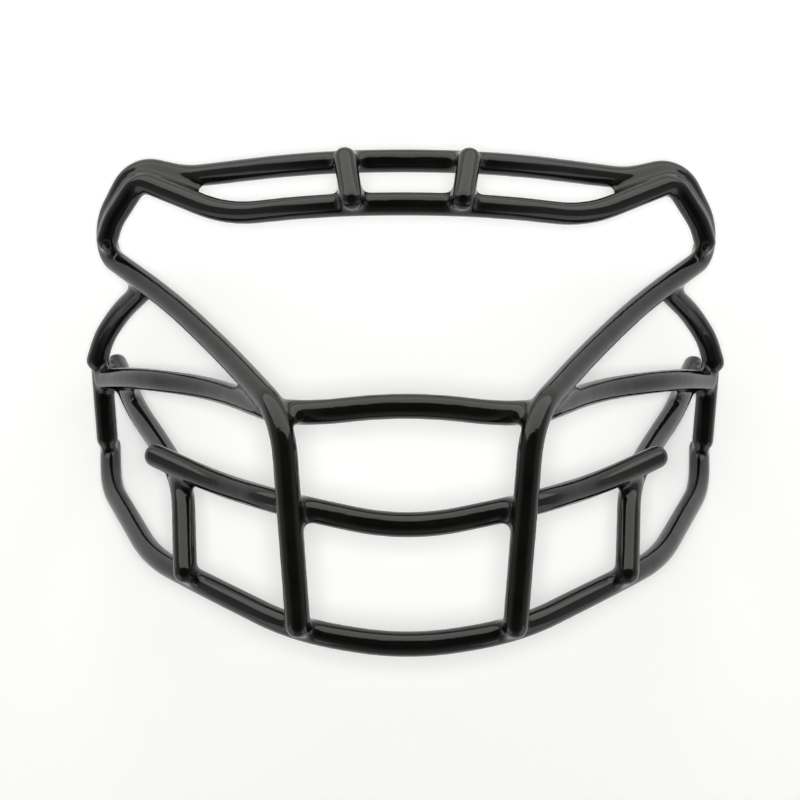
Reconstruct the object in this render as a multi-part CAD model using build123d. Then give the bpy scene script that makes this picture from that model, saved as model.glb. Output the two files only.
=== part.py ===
from build123d import *
from math import radians, tan
import os

"""Wire face guard for an American football helmet, in millimetres.

The guard lies on its back: +Z points out of the face, +Y towards the brow, X = 0 is the plane of
symmetry and Z = 0 is the bench. Steel wires are welded one on another, and a dipped polymer coat
covers each of them. A wire is laid out by the corners of its centre line, and wherever two wires are
welded, one corner slides until their centre lines lie one pitch apart. The right side (+X) is built,
and the left side mirrors it.
"""

# Wire, coat and welds
core_diameter = 6.35
coat_thickness = 0.7
weld_gap = 0.1
bead_swell = 0.5

# Upper brow wire: half widths, heights and depths of its corners
brow_height = 76.6
brow_vertex_depth = 82.0
dip_half_width = 76.5
dip_drop = 3.0
dip_depth = 42.0
temple_half_width = 95.5
temple_rise = 2.0
temple_depth = 36.0
leg_half_width = 106.5
leg_bend_drop = 16.5
leg_bend_depth = 29.0
leg_drop = 29.0
leg_depth = 26.0

# Lower brow wire and the two struts between the brow wires
brow_spacing = 15.4
lower_vertex_depth = 89.5
lower_dip_half_width = 60.5
lower_dip_drop = 2.6
lower_dip_depth = 58.0
strut_top_half_width = 20.4
strut_top_drop = 1.0
strut_foot_half_width = 17.9

# Front wires, which run from the temple to the chin
cheekbone_half_width = 79.6
cheekbone_height = 29.5
cheekbone_depth = 55.0
muzzle_half_width = 56.5
muzzle_height = 10.1
muzzle_depth = 88.0
front_half_width = 37.2
front_height = -8.0
front_depth = 122.0
front_foot_half_width = 32.5
front_foot_height = -70.9
front_foot_depth = 119.0

# Nose wire
nose_height = -4.4
nose_bow = 6.5
nose_corner_half_width = 36.0
nose_corner_sag = 4.0
nose_side_half_width = 63.0
nose_side_rise = 4.5
nose_side_depth = 72.0
nose_ear_half_width = 92.5
nose_ear_rise = 8.2
nose_ear_depth = 43.0
nose_end_inset = 2.2
nose_end_rise = 8.2

# Mouth wire
mouth_height = -42.4
mouth_bow = 3.0
mouth_corner_half_width = 35.7
mouth_corner_rise = 7.3
mouth_side_half_width = 60.0
mouth_side_rise = 12.2
mouth_side_depth = 90.0
mouth_end_half_width = 82.0
mouth_end_rise = 20.4

# Chin wire
chin_height = -77.3
chin_bow = 8.0
chin_corner_half_width = 33.2
chin_corner_rise = 4.2
chin_side_half_width = 66.0
chin_side_rise = 15.8
chin_side_depth = 88.0
jaw_half_width = 84.4
jaw_rise = 21.2
jaw_depth = 65.0
jaw_hook_inset = 5.2
jaw_hook_rise = 41.8
jaw_hook_depth = 19.0
jaw_end_inset = 2.2
jaw_end_rise = 56.3

# Side, cheek and ear wires
side_top_half_width = 111.6
side_top_height = 8.0
side_lean = 0.35
cheek_top_inset = 1.4
cheek_run_half_width = 95.3
cheek_run_height = -7.0
cheek_rise_half_width = 83.5
cheek_rise_height = -19.0
cheek_rise_depth = 53.0
cheek_shoulder_half_width = 72.5
cheek_shoulder_height = -30.5
cheek_shoulder_depth = 78.0
cheek_foot_half_width = 70.0
cheek_foot_height = -58.0
ear_top_half_width = 92.7
ear_top_height = 34.5
ear_bend_half_width = 102.0
ear_bend_height = 27.8
ear_bend_depth = 25.0
ear_side_inset = 2.6
ear_side_height = 19.1
ear_side_depth = 19.0
ear_foot_outset = 0.6
ear_foot_height = 10.4

# Bends: the share that each takes of the shorter run beside it
full_bend = 0.45
brow_bend = 0.65
dip_bend = 0.3
lower_brow_bend = 0.72
corner_bend = 0.3

core_radius = core_diameter / 2
coat_radius = core_radius + coat_thickness
bead_radius = core_radius + bead_swell
pitch = core_diameter + weld_gap
clear = 4 * pitch


def bar(points, bends):
    """Centre line through the corners, each rounded over its share of the shorter run beside it."""
    if len(points) == 2:
        return Line(*points)
    radii = []
    for before, corner, after, bend in zip(points, points[1:], points[2:], bends):
        entry = corner - before
        leave = after - corner
        run = bend * min(entry.length, leave.length)
        radii.append(run / tan(radians(entry.get_angle(leave)) / 2))
    return FilletPolyline(*points, radius=radii)


def slide(points, bends, corner, other, away):
    """Slide one corner along a direction until its runs lie one pitch from another bar."""
    first = max(corner - 1, 0)
    last = min(corner + 1, len(points) - 1)
    for _ in range(14):
        local = bar(points[first:last + 1], bends[corner - 1:corner])
        step = pitch - local.distance_to(other)
        points[corner] = points[corner] + Vector(*away) * step


def both_sides(half, bends):
    """Corners and bends of a symmetric bar, from those of its right half."""
    left = [Vector(-p.X, p.Y, p.Z) for p in reversed(half[1:])]
    return left + half, bends[:0:-1] + bends


def rod(path, radius):
    """Round wire along a path, with a domed end at each end."""
    start = Plane(origin=path @ 0, z_dir=path % 0)
    end = Plane(origin=path @ 1, z_dir=path % 1)
    wire = sweep(start * Circle(radius), path=path)
    dome = Sphere(radius, arc_size1=0, align=(Align.CENTER, Align.CENTER, Align.MIN))
    back = Plane(origin=path @ 0, z_dir=(path % 0) * -1)
    return wire + back * dome + end * dome


def between(first, second, place):
    """Middle of the gap between two centre lines, beside a given place."""
    one = first.closest_points(Vertex(*place))[0]
    two = second.closest_points(Vertex(*one))[0]
    return (one + two) / 2


def crossing(first, second):
    """Middle of the gap between two centre lines, where they pass closest."""
    one, two = first.closest_points(second)
    return (one + two) / 2


def mirrored(shape):
    """The same shape on the other side of the plane of symmetry."""
    return mirror(shape, about=Plane.YZ)


def largest(shape):
    """The main solid of a cut shape, without crumbs."""
    return max(shape.solids(), key=lambda solid: solid.volume)


def cut_back(shape, tools):
    """The main solid that is left of a shape once each tool in turn has cut it."""
    for tool in tools:
        shape = largest(shape - tool)
    return shape


# ---------------------------------------------------------------- centre lines, right half first
front, behind = (0, 0, 1), (0, 0, -1)

temple = Vector(temple_half_width, brow_height + temple_rise, temple_depth)
leg_bend = Vector(leg_half_width, brow_height - leg_bend_drop, leg_bend_depth)
leg_foot = Vector(leg_half_width, brow_height - leg_drop, leg_depth)
frame_half = [
    Vector(0, brow_height, brow_vertex_depth),
    Vector(dip_half_width, brow_height - dip_drop, dip_depth),
    temple,
    leg_bend,
    leg_foot,
    Vector(cheekbone_half_width, cheekbone_height, cheekbone_depth),
    Vector(muzzle_half_width, muzzle_height, muzzle_depth),
    Vector(front_half_width, front_height, front_depth),
    Vector(front_foot_half_width, front_foot_height, front_foot_depth),
]
frame_bends = [
    brow_bend, dip_bend, full_bend, full_bend, full_bend, full_bend, full_bend, corner_bend,
]
frame_path = bar(*both_sides(frame_half, frame_bends))

# The lower brow wire turns round the inside of the temple and climbs onto the front of the leg.
lower_height = brow_height - brow_spacing
lower_half = [
    Vector(0, lower_height, lower_vertex_depth),
    Vector(lower_dip_half_width, lower_height - lower_dip_drop, lower_dip_depth),
    temple + Vector(-0.36, -0.87, 0.62) * pitch,
    leg_bend + Vector(-0.5, -0.2, 0.99) * pitch,
    leg_foot + Vector(-0.17, 0.75, 1.2) * pitch,
]
lower_bends = [lower_brow_bend, corner_bend, corner_bend, full_bend]
for _ in range(2):
    slide(lower_half, lower_bends[1:], 2, frame_path, (-0.36, -0.87, 0.62))
    slide(lower_half, lower_bends[1:], 4, frame_path, (-0.17, 0, 1.2))
lower_path = bar(*both_sides(lower_half, lower_bends))

chin_half = [
    Vector(0, chin_height, front_foot_depth - pitch + chin_bow),
    Vector(chin_corner_half_width, chin_height + chin_corner_rise, front_foot_depth - clear),
    Vector(chin_side_half_width, chin_height + chin_side_rise, chin_side_depth),
    Vector(jaw_half_width, chin_height + jaw_rise, jaw_depth),
    Vector(side_top_half_width - jaw_hook_inset, chin_height + jaw_hook_rise, jaw_hook_depth),
    Vector(side_top_half_width - jaw_end_inset, chin_height + jaw_end_rise, coat_radius),
]
chin_bends = [full_bend] * 5
slide(chin_half, chin_bends[1:], 1, frame_path, behind)
chin_path = bar(*both_sides(chin_half, chin_bends))

side_half = [
    chin_half[-1] + Vector(0, pitch / 2, pitch),
    Vector(side_top_half_width, side_top_height, coat_radius + pitch - side_lean),
]
slide(side_half, [], 0, chin_path, (0, 1, 0))
side_path = bar(side_half, [])

nose_half = [
    Vector(0, nose_height, front_depth - pitch + nose_bow / 2),
    Vector(nose_corner_half_width, nose_height - nose_corner_sag, front_depth - clear),
    Vector(nose_side_half_width, nose_height + nose_side_rise, nose_side_depth),
    Vector(nose_ear_half_width, nose_height + nose_ear_rise, nose_ear_depth),
    Vector(side_top_half_width - nose_end_inset, nose_height + nose_end_rise, coat_radius + clear),
]
nose_bends = [full_bend] * 4
slide(nose_half, nose_bends[1:], 1, frame_path, behind)
slide(nose_half, nose_bends[1:], 4, side_path, front)
nose_path = bar(*both_sides(nose_half, nose_bends))

cheek_half = [
    Vector(side_top_half_width - cheek_top_inset, side_top_height, coat_radius),
    Vector(cheek_run_half_width, cheek_run_height, coat_radius),
    Vector(cheek_rise_half_width, cheek_rise_height, cheek_rise_depth),
    Vector(cheek_shoulder_half_width, cheek_shoulder_height, cheek_shoulder_depth),
    Vector(cheek_foot_half_width, cheek_foot_height, jaw_depth + clear),
]
cheek_bends = [full_bend, full_bend, corner_bend]
for _ in range(3):
    slide(cheek_half, cheek_bends, 1, nose_path, behind)
    slide(cheek_half, cheek_bends, 0, side_path, (-0.9, 0.4, 0))
slide(cheek_half, cheek_bends, 4, chin_path, front)
cheek_path = bar(cheek_half, cheek_bends)

mouth_half = [
    Vector(0, mouth_height, front_depth - pitch + mouth_bow),
    Vector(mouth_corner_half_width, mouth_height + mouth_corner_rise, front_depth - clear),
    Vector(mouth_side_half_width, mouth_height + mouth_side_rise, mouth_side_depth),
    Vector(mouth_end_half_width, mouth_height + mouth_end_rise, cheek_rise_depth + clear),
]
mouth_bends = [full_bend] * 3
slide(mouth_half, mouth_bends[1:], 1, frame_path, behind)
slide(mouth_half, mouth_bends[1:], 3, cheek_path, front)
mouth_path = bar(*both_sides(mouth_half, mouth_bends))

ear_half = [
    Vector(ear_top_half_width, ear_top_height, temple_depth - clear),
    Vector(ear_bend_half_width, ear_bend_height, ear_bend_depth),
    Vector(side_top_half_width - ear_side_inset, ear_side_height, ear_side_depth),
    Vector(side_top_half_width + ear_foot_outset, ear_foot_height, coat_radius + clear),
]
ear_bends = [full_bend, full_bend]
slide(ear_half, ear_bends, 0, frame_path, behind)
slide(ear_half, ear_bends, 3, side_path, front)
ear_path = bar(ear_half, ear_bends)

strut_half = [
    Vector(strut_top_half_width, brow_height - strut_top_drop, brow_vertex_depth + clear),
    Vector(strut_foot_half_width, lower_height, lower_vertex_depth + clear),
]
for _ in range(3):
    slide(strut_half, [], 0, frame_path, front)
    slide(strut_half, [], 1, lower_path, front)
strut_path = bar(strut_half, [])


# ---------------------------------------------------------------- wires
whole_paths = {
    "frame": frame_path,
    "lower_brow": lower_path,
    "chin": chin_path,
    "nose": nose_path,
    "mouth": mouth_path,
}
right_paths = {"side": side_path, "cheek": cheek_path, "ear": ear_path, "strut": strut_path}

paths = dict(whole_paths)
wires = {name: rod(path, core_radius) for name, path in whole_paths.items()}
sleeves = {name: rod(path, coat_radius) for name, path in whole_paths.items()}
for name, path in right_paths.items():
    wire = rod(path, core_radius)
    sleeve = rod(path, coat_radius)
    paths[name + "_right"] = path
    paths[name + "_left"] = mirrored(path)
    wires[name + "_right"] = wire
    wires[name + "_left"] = mirrored(wire)
    sleeves[name + "_right"] = sleeve
    sleeves[name + "_left"] = mirrored(sleeve)

# ---------------------------------------------------------------- welds
frame_right = bar(frame_half, frame_bends[1:])
chin_right = bar(chin_half, chin_bends[1:])
nose_right = bar(nose_half, nose_bends[1:])
mouth_right = bar(mouth_half, mouth_bends[1:])
weld_places = {
    "weld_strut_frame": crossing(strut_path, frame_path),
    "weld_strut_lower_brow": crossing(strut_path, lower_path),
    "weld_temple": between(lower_path, frame_path, temple),
    "weld_leg": between(lower_path, frame_path, lower_half[-1]),
    "weld_ear_frame": crossing(ear_path, frame_right),
    "weld_ear_side": crossing(ear_path, side_path),
    "weld_nose_side": crossing(nose_right, side_path),
    "weld_nose_cheek": crossing(nose_right, cheek_path),
    "weld_side_cheek": crossing(side_path, cheek_path),
    "weld_nose_frame": crossing(nose_right, frame_right),
    "weld_mouth_frame": crossing(mouth_right, frame_right),
    "weld_chin_frame": crossing(chin_right, frame_right),
    "weld_mouth_cheek": crossing(mouth_right, cheek_path),
    "weld_chin_cheek": crossing(chin_right, cheek_path),
    "weld_chin_side": crossing(chin_right, side_path),
}


def weld_bead(place, others):
    """Ball of weld metal and coat round one joint, cut back from the wires and the beads beside it."""
    near = bead_radius + core_radius
    tools = [wires[name] for name, path in paths.items() if path.distance_to(Vertex(*place)) < near]
    tools += [bead for centre, bead in others if (centre - place).length < 2 * bead_radius]
    return cut_back(Pos(*place) * Sphere(bead_radius), tools)


beads = []
welds = {}
for name, place in weld_places.items():
    bead = weld_bead(place, beads)
    beads.append((place, bead))
    welds[name + "_right"] = (place, bead)
    welds[name + "_left"] = (Vector(-place.X, place.Y, place.Z), mirrored(bead))


# ---------------------------------------------------------------- coats
def coat(name, earlier):
    """Sleeve of one wire, cut back from every wire and weld and from the sleeves made before it."""
    path = paths[name]
    reach = coat_radius + core_radius
    tools = [wires[other] for other in wires if path.distance_to(paths[other]) < reach]
    reach = coat_radius + bead_radius
    tools += [bead for place, bead in welds.values() if path.distance_to(Vertex(*place)) < reach]
    reach = 2 * coat_radius
    tools += [sleeves[other] for other in earlier if path.distance_to(paths[other]) < reach]
    return cut_back(sleeves[name], tools)


coats = {}
done = []
for name in sleeves:
    if name.endswith("_left"):
        continue
    coats[name] = coat(name, done)
    done.append(name)
    if name.endswith("_right"):
        other = name.replace("_right", "_left")
        coats[other] = mirrored(coats[name])
        done.append(other)

# The frame's coat is parted across both legs, below the ends of the lower brow wire.
parting = Plane(origin=(0, (leg_foot.Y + cheekbone_height) / 2, 0), z_dir=(0, 1, 0))
frame_coat = coats.pop("frame")
coats["brow"] = largest(split(frame_coat, bisect_by=parting, keep=Keep.TOP))
fronts = split(frame_coat, bisect_by=parting, keep=Keep.BOTTOM).solids().sort_by(Axis.X)
coats["front_left"] = fronts[0]
coats["front_right"] = fronts[-1]

# ---------------------------------------------------------------- parts
parts = {"coat_" + name: solid for name, solid in coats.items()}
for name, wire in wires.items():
    base, _, hand = name.rpartition("_")
    parts[base + "_wire_" + hand if hand in ("left", "right") else name + "_wire"] = wire
for name, (_, bead) in welds.items():
    parts[name] = bead

# The origin lies under the middle of the guard.
sizes = [sleeve.bounding_box() for sleeve in sleeves.values()]
middle = (min(size.min.Y for size in sizes) + max(size.max.Y for size in sizes)) / 2

os.makedirs("parts", exist_ok=True)
for name, solid in parts.items():
    export_step(Pos(0, -middle, 0) * solid, f"parts/{name}.step")
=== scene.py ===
import bmesh
import bpy
import numpy
from mathutils import Matrix, Vector
from mathutils.bvhtree import BVHTree


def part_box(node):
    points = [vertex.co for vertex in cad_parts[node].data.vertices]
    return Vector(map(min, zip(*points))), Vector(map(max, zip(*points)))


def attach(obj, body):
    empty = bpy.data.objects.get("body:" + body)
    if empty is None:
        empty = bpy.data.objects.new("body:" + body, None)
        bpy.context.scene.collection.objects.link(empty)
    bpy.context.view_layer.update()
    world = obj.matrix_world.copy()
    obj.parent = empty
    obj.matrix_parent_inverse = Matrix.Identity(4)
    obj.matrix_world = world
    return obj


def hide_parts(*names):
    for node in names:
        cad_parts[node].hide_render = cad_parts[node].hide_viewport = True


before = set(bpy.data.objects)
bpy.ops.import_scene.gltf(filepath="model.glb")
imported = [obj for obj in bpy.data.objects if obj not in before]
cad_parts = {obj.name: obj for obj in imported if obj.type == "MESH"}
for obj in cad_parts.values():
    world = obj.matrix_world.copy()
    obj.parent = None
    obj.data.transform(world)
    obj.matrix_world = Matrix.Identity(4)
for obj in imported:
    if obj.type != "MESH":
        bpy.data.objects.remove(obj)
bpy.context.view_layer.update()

MM = 0.001

# ---------------------------------------------------------------- sizes
SKIN_VOXEL = 0.45 * MM       # step of the skin's mesh
FILLET = 1.8 * MM            # radius of the coat in the corners at the joints
SMOOTHING = 12               # passes that even out the skin's mesh
SMOOTHING_STEP = 0.5         # how far a point goes towards its neighbours' middle in each pass
PIT_RADIUS = 1.3 * MM        # ring-shaped dimple that the coat leaves over a cut wire end
PIT_WIDTH = 0.45 * MM
PIT_DEPTH = 0.5 * MM
WIRE_END = 2 * MM            # length of wire whose middle marks where the dimple goes
ARM_START = 0.4              # an arm lies beyond this share of its wire's width from the middle

CAMERA_PLACE = Vector((-3.4, -2.6, 590.4)) * MM
CAMERA_FOCUS = 1578.3 / 800  # focal length as a share of the picture's width
CAMERA_YAW = 0.0025
CAMERA_PITCH = 0.0022
CAMERA_ROLL = 0.0031
SENSOR_WIDTH = 36            # mm

FLOOR_SIZE = 8
FLOOR_DROP = 0.2 * MM        # gap from the guard's lowest point down to the floor
FLOOR_WHITE = 0.9
FLOOR_LIFT = 0.2             # glow that takes the unshaded floor to white for the camera

HORIZON = (0.45, 0.45, 0.44)
HALF_UP = (0.28, 0.28, 0.27)
ZENITH = (0.02, 0.02, 0.02)

SOFTBOX_PLACE = (0, 1.0, 0.83)
SOFTBOX_AIM = (0, 0, 0.83)
SOFTBOX_SIZE = (3.4, 1.6)
SOFTBOX_RADIANCE = 1.7
SOFTBOX_COLOUR = (1, 0.995, 0.96)
PANEL_PLACE = (0.9, -0.8, 0.32)
PANEL_AIM = (0.08, 0, 0.05)
PANEL_SIZE = (0.9, 0.6)
PANEL_RADIANCE = 0.8
LENS_LAMP_BEHIND = 10 * MM   # how far the lamp stands behind the camera
LENS_LAMP_SIZE = (0.07, 0.07)
LENS_LAMP_RADIANCE = 105

NOISE_LOW, NOISE_HIGH = 0.3, 0.7   # the span of a noise's values that a colour or number follows

coats = [name for name in sorted(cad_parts) if name.startswith("coat_")]
welds = [name for name in sorted(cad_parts) if name.startswith("weld_")]
wires = [name for name in sorted(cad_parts) if "_wire" in name]


# ---------------------------------------------------------------- skin
def joined(name, nodes):
    """One new object from copies of CAD nodes."""
    form = bmesh.new()
    for node in nodes:
        form.from_mesh(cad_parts[node].data)
    mesh = bpy.data.meshes.new(name)
    form.to_mesh(mesh)
    form.free()
    piece = bpy.data.objects.new(name, mesh)
    bpy.context.scene.collection.objects.link(piece)
    return piece


def modify(piece, kind, **settings):
    """Apply one modifier to a piece."""
    modifier = piece.modifiers.new(kind, kind)
    for key, value in settings.items():
        setattr(modifier, key, value)
    graph = bpy.context.evaluated_depsgraph_get()
    mesh = bpy.data.meshes.new_from_object(piece.evaluated_get(graph))
    piece.modifiers.clear()
    old = piece.data
    piece.data = mesh
    bpy.data.meshes.remove(old)


def keep_outside(piece):
    """Keep only the largest closed surface of a piece, and drop those inside it."""
    form = bmesh.new()
    form.from_mesh(piece.data)
    form.faces.ensure_lookup_table()
    seen = [False] * len(form.faces)
    islands = []
    for face in form.faces:
        if seen[face.index]:
            continue
        seen[face.index] = True
        island = [face]
        for one in island:
            for edge in one.edges:
                for other in edge.link_faces:
                    if not seen[other.index]:
                        seen[other.index] = True
                        island.append(other)
        islands.append(island)
    islands.sort(key=len)
    inner = [face for island in islands[:-1] for face in island]
    bmesh.ops.delete(form, geom=inner, context="FACES")
    form.to_mesh(piece.data)
    form.free()


def points_of(mesh):
    """A mesh's points as rows of x, y, z."""
    rows = numpy.empty(len(mesh.vertices) * 3, dtype=numpy.float32)
    mesh.vertices.foreach_get("co", rows)
    return rows.reshape(-1, 3)


def dipped_skin():
    """The coat as one skin, with a fillet in each corner where wires meet."""
    skin = joined("skin", coats + wires)
    remesh = dict(mode="VOXEL", voxel_size=SKIN_VOXEL, adaptivity=0)
    modify(skin, "REMESH", **remesh)
    keep_outside(skin)
    modify(skin, "DISPLACE", strength=FILLET, mid_level=0)
    modify(skin, "REMESH", **remesh)
    modify(skin, "SMOOTH", factor=SMOOTHING_STEP, iterations=SMOOTHING)
    modify(skin, "DISPLACE", strength=-FILLET, mid_level=0)
    modify(skin, "REMESH", **remesh)
    modify(skin, "SMOOTH", factor=SMOOTHING_STEP, iterations=SMOOTHING)
    return skin


def pit(mesh, node):
    """Ring-shaped dimple in the coat over the lower end of each arm of a CAD wire."""
    points = points_of(mesh)
    low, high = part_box(node)
    wire = points_of(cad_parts[node].data)
    for side in (-1, 1):
        arm = wire[wire[:, 0] * side > ARM_START * (high[0] - low[0])]
        tip = arm[arm[:, 1].argmin()]
        end = arm[arm[:, 1] < tip[1] + WIRE_END]
        centre = (end.min(axis=0) + end.max(axis=0)) / 2
        reach = numpy.hypot(points[:, 0] - centre[0], points[:, 1] - centre[1])
        ring = numpy.exp(-((reach - PIT_RADIUS) / PIT_WIDTH) ** 2)
        points[:, 2] -= PIT_DEPTH * ring * (points[:, 2] > centre[2])
    mesh.vertices.foreach_set("co", points.ravel())
    mesh.update()


def wire_beside(places):
    """For each place, the name of the wire that it lies nearest to."""
    corners, faces, owners = [], [], []
    for name in wires:
        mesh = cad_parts[name].data
        start = len(corners)
        corners.extend(vertex.co.copy() for vertex in mesh.vertices)
        for polygon in mesh.polygons:
            faces.append([start + index for index in polygon.vertices])
            owners.append(name)
    tree = BVHTree.FromPolygons(corners, faces)
    return [owners[tree.find_nearest(place)[2]] for place in places]


def coat_beside(wire, place, parting):
    """The CAD coat node that covers a wire at a place."""
    if wire != "frame_wire":
        return "coat_" + wire.replace("_wire", "")
    if place[1] > parting:
        return "coat_brow"
    return "coat_front_left" if place[0] < 0 else "coat_front_right"


def part_skin(skin):
    """Part the skin into one piece for each CAD coat, shaded as one smooth surface."""
    mesh = skin.data
    points = points_of(mesh)
    normals = numpy.array([vertex.normal[:] for vertex in mesh.vertices], dtype=numpy.float32)
    corners = numpy.empty(len(mesh.loops), dtype=numpy.int32)
    mesh.loops.foreach_get("vertex_index", corners)
    corners = corners.reshape(-1, 4)
    centres = points[corners].mean(axis=1)
    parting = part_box("coat_front_left")[1][1]
    owners = [coat_beside(wire, place, parting)
              for wire, place in zip(wire_beside(centres.tolist()), centres)]
    owners = numpy.array(owners)
    pieces = {}
    for name in coats:
        chosen = corners[owners == name]
        used, faces = numpy.unique(chosen, return_inverse=True)
        part = bpy.data.meshes.new("dipped_" + name)
        part.from_pydata(points[used].tolist(), [], faces.reshape(-1, 4).tolist())
        part.polygons.foreach_set("use_smooth", [True] * len(part.polygons))
        part.normals_split_custom_set_from_vertices(normals[used].tolist())
        piece = bpy.data.objects.new("dipped_" + name, part)
        bpy.context.scene.collection.objects.link(piece)
        pieces[name] = piece
    bpy.data.objects.remove(skin)
    return pieces


def coat_of_weld(weld):
    """The CAD coat whose piece also stands for a weld."""
    _, first, *rest = weld.split("_")
    side = rest[-1]
    if first in ("temple", "leg"):
        return "coat_lower_brow"
    sided = "coat_" + first + "_" + side
    return sided if sided in coats else "coat_" + first


skin = dipped_skin()
pit(skin.data, "lower_brow_wire")
pieces = part_skin(skin)
for name, piece in pieces.items():
    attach(piece, "root")
    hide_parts(name, *[weld for weld in welds if coat_of_weld(weld) == name])


# ---------------------------------------------------------------- materials
class Nodes:
    """A material's node tree, written node by node."""

    def __init__(self, name):
        self.material = bpy.data.materials.new(name)
        self.material.use_nodes = True
        self.tree = self.material.node_tree
        self.shader = self.tree.nodes["Principled BSDF"]
        self.place = self.add("TexCoord").outputs["Object"]

    def add(self, kind, **settings):
        node = self.tree.nodes.new("ShaderNode" + kind)
        for key, value in settings.items():
            setattr(node, key, value)
        return node

    def link(self, source, target):
        self.tree.links.new(source, target)

    def noise(self, scale, detail=2, stretch=(1, 1, 1)):
        """Noise in space, with its scale in cycles to the metre."""
        mapping = self.add("Mapping")
        mapping.inputs["Scale"].default_value = stretch
        self.link(self.place, mapping.inputs["Vector"])
        noise = self.add("TexNoise")
        noise.inputs["Scale"].default_value = scale
        noise.inputs["Detail"].default_value = detail
        self.link(mapping.outputs["Vector"], noise.inputs["Vector"])
        return noise.outputs["Fac"]

    def spread(self, source, low, high):
        """A value from low to high, as a noise goes over its usual span."""
        spread = self.add("MapRange")
        spread.inputs["From Min"].default_value = NOISE_LOW
        spread.inputs["From Max"].default_value = NOISE_HIGH
        spread.inputs["To Min"].default_value = low
        spread.inputs["To Max"].default_value = high
        self.link(source, spread.inputs["Value"])
        return spread.outputs["Result"]

    def blend(self, source, low, high):
        """A colour from low to high, as a noise goes over its usual span."""
        ramp = self.add("ValToRGB")
        ends = ramp.color_ramp.elements
        ends[0].position, ends[1].position = NOISE_LOW, NOISE_HIGH
        ends[0].color, ends[1].color = (*low, 1), (*high, 1)
        self.link(source, ramp.inputs["Fac"])
        return ramp.outputs["Color"]

    def bump(self, source, depth, under=None):
        """Relief from a source, its depth in metres, laid over other relief."""
        bump = self.add("Bump")
        bump.inputs["Distance"].default_value = depth
        self.link(source, bump.inputs["Height"])
        if under:
            self.link(under, bump.inputs["Normal"])
        return bump.outputs["Normal"]


def coat_material():
    """Glossy black dipped polymer: faint orange peel, a slow flow in the coat, a few dull spots."""
    coat = Nodes("dipped_black")
    dye = coat.blend(coat.noise(90, 3), (0.0022, 0.0022, 0.002), (0.0042, 0.0042, 0.0038))
    coat.link(dye, coat.shader.inputs["Base Color"])
    coat.link(coat.spread(coat.noise(160, 3), 0.07, 0.14), coat.shader.inputs["Roughness"])
    flow = coat.bump(coat.noise(110, 1), 0.00016)
    peel = coat.bump(coat.noise(650, 2), 0.000012, flow)
    coat.link(peel, coat.shader.inputs["Normal"])
    coat.shader.inputs["IOR"].default_value = 1.5
    return coat.material


def steel_material():
    """Drawn steel wire under the coat, with its fine draw lines and patches of mill scale."""
    steel = Nodes("drawn_steel")
    scale = steel.blend(steel.noise(250, 4), (0.26, 0.25, 0.25), (0.5, 0.5, 0.52))
    steel.link(scale, steel.shader.inputs["Base Color"])
    steel.link(steel.spread(steel.noise(400, 4), 0.25, 0.45), steel.shader.inputs["Roughness"])
    lines = steel.bump(steel.noise(2500, 2, (1, 0.1, 1)), 0.00001)
    steel.link(lines, steel.shader.inputs["Normal"])
    steel.shader.inputs["Metallic"].default_value = 1
    return steel.material


def paint(piece, material):
    piece.data.materials.clear()
    piece.data.materials.append(material)


black = coat_material()
for piece in pieces.values():
    paint(piece, black)
steel = steel_material()
for name in wires:
    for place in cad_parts[name].material_slots:
        place.material = steel


# ---------------------------------------------------------------- stage
def floor():
    """White table that keeps the guard's soft shadow and is just white where nothing shades it."""
    bpy.ops.mesh.primitive_plane_add(size=FLOOR_SIZE, location=(0, 0, -FLOOR_DROP))
    plane = bpy.context.object
    plane.name = "floor"
    table = Nodes("white_table")
    table.shader.inputs["Base Color"].default_value = (FLOOR_WHITE, FLOOR_WHITE, FLOOR_WHITE, 1)
    table.shader.inputs["Roughness"].default_value = 0.9
    table.shader.inputs["Specular IOR Level"].default_value = 0.1
    paths = table.add("LightPath")
    seen = table.add("Math", operation="ADD")
    table.link(paths.outputs["Is Camera Ray"], seen.inputs[0])
    table.link(paths.outputs["Is Glossy Ray"], seen.inputs[1])
    lift = table.add("Math", operation="MULTIPLY")
    table.link(seen.outputs["Value"], lift.inputs[0])
    lift.inputs[1].default_value = FLOOR_LIFT
    table.shader.inputs["Emission Color"].default_value = (1, 1, 1, 1)
    table.link(lift.outputs["Value"], table.shader.inputs["Emission Strength"])
    paint(plane, table.material)


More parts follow.
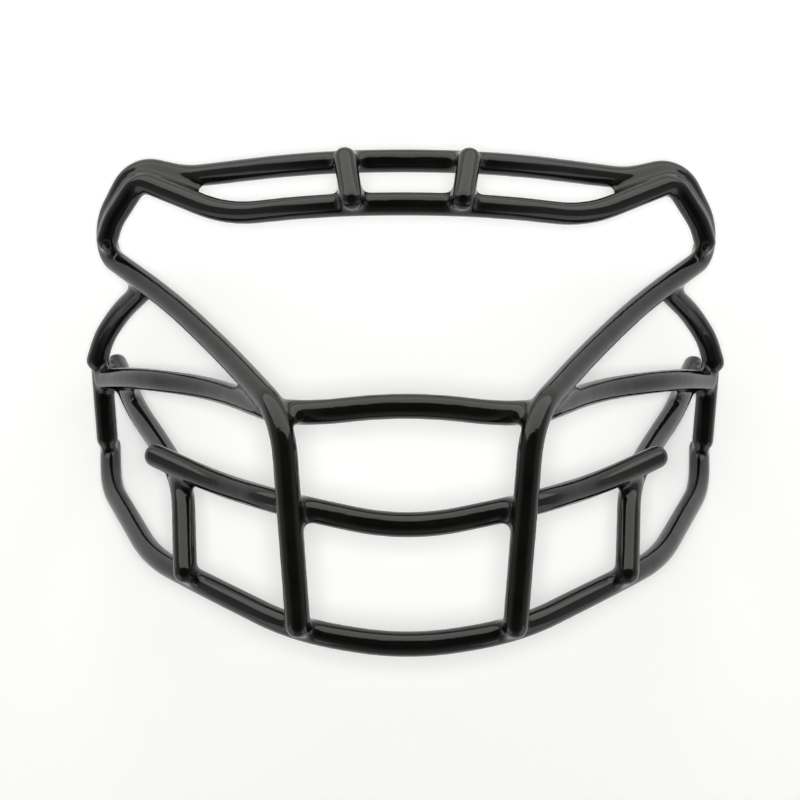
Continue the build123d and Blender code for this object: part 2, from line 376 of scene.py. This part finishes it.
def lamp(name, place, aim, size, radiance, colour=(1, 1, 1), glossy=True):
    """Rectangular soft lamp of a given brightness at a place, facing a point."""
    light = bpy.data.lights.new(name, "AREA")
    light.shape = "RECTANGLE"
    light.size, light.size_y = size
    light.energy = radiance * numpy.pi * size[0] * size[1]
    light.color = colour
    holder = bpy.data.objects.new(name, light)
    holder.location = place
    holder.rotation_euler = (Vector(aim) - Vector(place)).to_track_quat("-Z", "Y").to_euler()
    holder.visible_glossy = glossy
    holder.visible_camera = False
    bpy.context.scene.collection.objects.link(holder)


def studio():
    """Dim walls all round, brightest at the horizon, under a dark ceiling."""
    world = bpy.data.worlds.new("studio")
    bpy.context.scene.world = world
    world.use_nodes = True
    nodes, links = world.node_tree.nodes, world.node_tree.links
    place = nodes.new("ShaderNodeTexCoord").outputs["Generated"]
    split = nodes.new("ShaderNodeSeparateXYZ")
    links.new(place, split.inputs[0])
    ramp = nodes.new("ShaderNodeValToRGB")
    ends = ramp.color_ramp.elements
    ends[0].position, ends[0].color = 0, (*HORIZON, 1)
    ends[1].position, ends[1].color = 0.85, (*ZENITH, 1)
    middle = ends.new(0.5)
    middle.color = (*HALF_UP, 1)
    links.new(split.outputs["Z"], ramp.inputs["Fac"])
    links.new(ramp.outputs["Color"], nodes["Background"].inputs["Color"])


def camera():
    """Camera straight above the guard, a hair off level."""
    data = bpy.data.cameras.new("camera")
    data.sensor_width = SENSOR_WIDTH
    data.lens = SENSOR_WIDTH * CAMERA_FOCUS
    holder = bpy.data.objects.new("camera", data)
    turn = Matrix.Rotation(-CAMERA_YAW, 4, "Y") @ Matrix.Rotation(-CAMERA_PITCH, 4, "X")
    turn = turn @ Matrix.Rotation(CAMERA_ROLL, 4, "Z")
    holder.matrix_world = Matrix.Translation(CAMERA_PLACE) @ turn
    bpy.context.scene.collection.objects.link(holder)
    bpy.context.scene.camera = holder


floor()
camera()
studio()
lamp("softbox", SOFTBOX_PLACE, SOFTBOX_AIM, SOFTBOX_SIZE, SOFTBOX_RADIANCE, SOFTBOX_COLOUR)
for side in (-1, 1):
    place = (side * PANEL_PLACE[0], *PANEL_PLACE[1:])
    aim = (side * PANEL_AIM[0], *PANEL_AIM[1:])
    lamp("panel", place, aim, PANEL_SIZE, PANEL_RADIANCE)
lens = CAMERA_PLACE + Vector((0, 0, LENS_LAMP_BEHIND))
lamp("lens lamp", lens, (*lens[:2], 0), LENS_LAMP_SIZE, LENS_LAMP_RADIANCE, glossy=False)

bpy.context.scene.view_settings.view_transform = "Standard"
